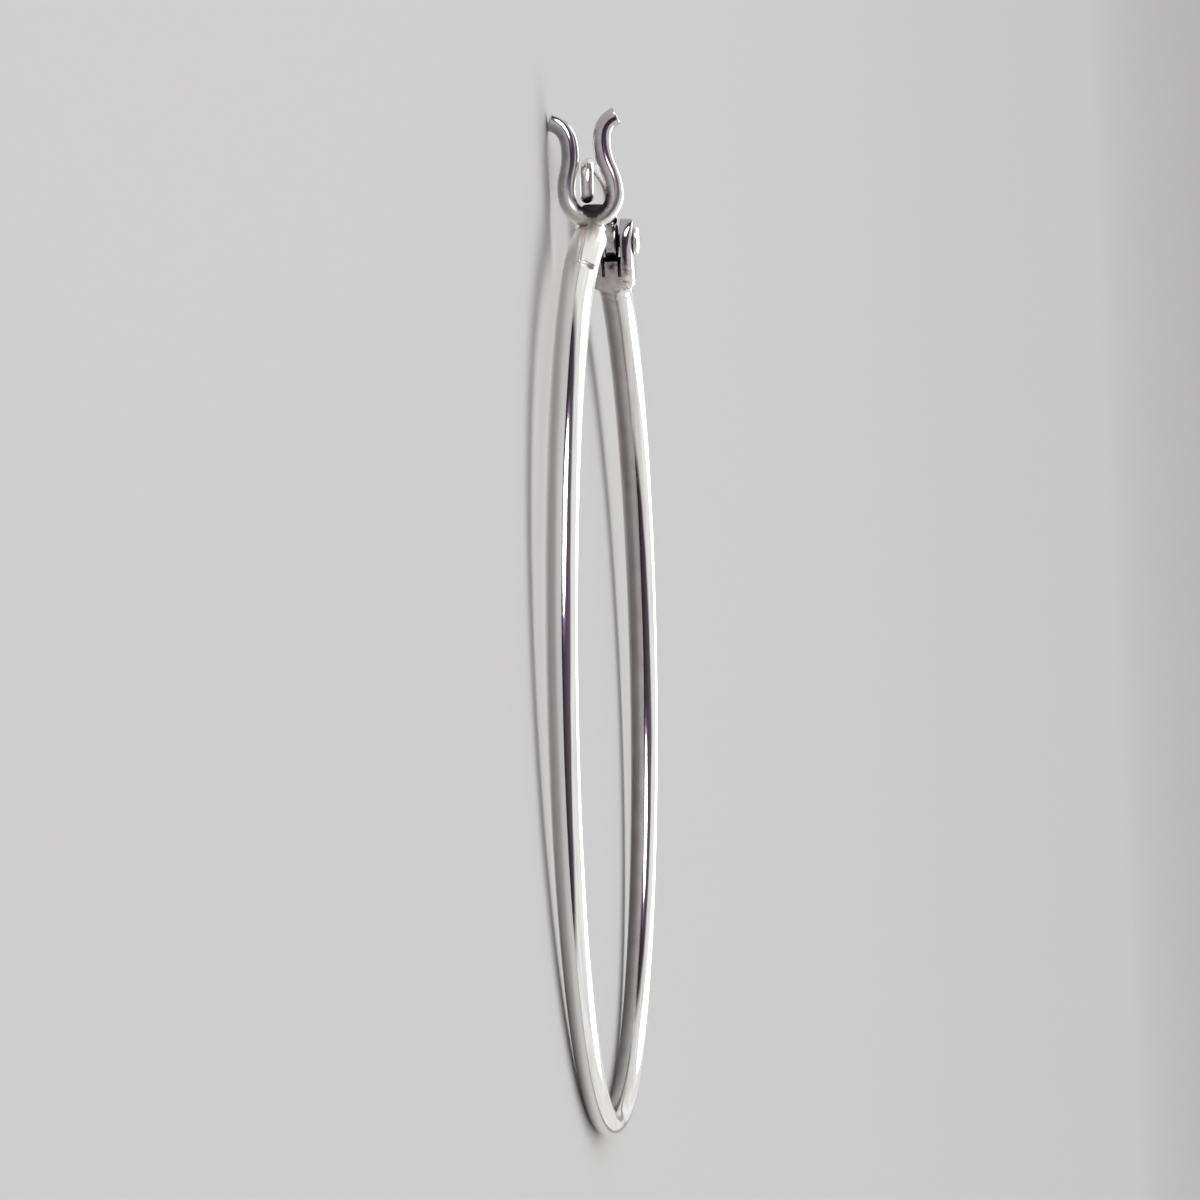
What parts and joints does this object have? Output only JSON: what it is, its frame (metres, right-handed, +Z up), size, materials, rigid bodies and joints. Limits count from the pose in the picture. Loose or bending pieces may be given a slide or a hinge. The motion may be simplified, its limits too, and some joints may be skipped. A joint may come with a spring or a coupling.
{
  "type": "hoop earring",
  "caption": "Round tube hoop earring in polished silver, with a lyre-shaped snap catch and a hinged, arched ear wire, lying on its side.",
  "frame": {"origin": "bottom centre of the bounding box, on the surface that the earring lies on", "axes": "+Y from the hoop's middle towards the clasp, +Z up from the surface, catch at -X and hinge at +X"},
  "size_m": [0.05, 0.0556, 0.004],
  "materials": {
    "polished_silver": "mirror polished, with fine handling scratches",
    "silver_wire": "polished, drawn wire",
    "pin_silver": "bright, hammered over and lightly filed"
  },
  "bodies": {
    "hoop": {"hoop": "polished_silver", "hinge_pin": "pin_silver"},
    "ear_wire": {"ear_wire": "silver_wire"}
  },
  "joints": [
    {"name": "ear_wire_hinge", "type": "hinge", "parent": "hoop", "child": "ear_wire", "pos_m": [0.008, 0.02165, 0.002], "axis": [0, 0.0267, -0.9996], "range_deg": [0, 100]}
  ]
}
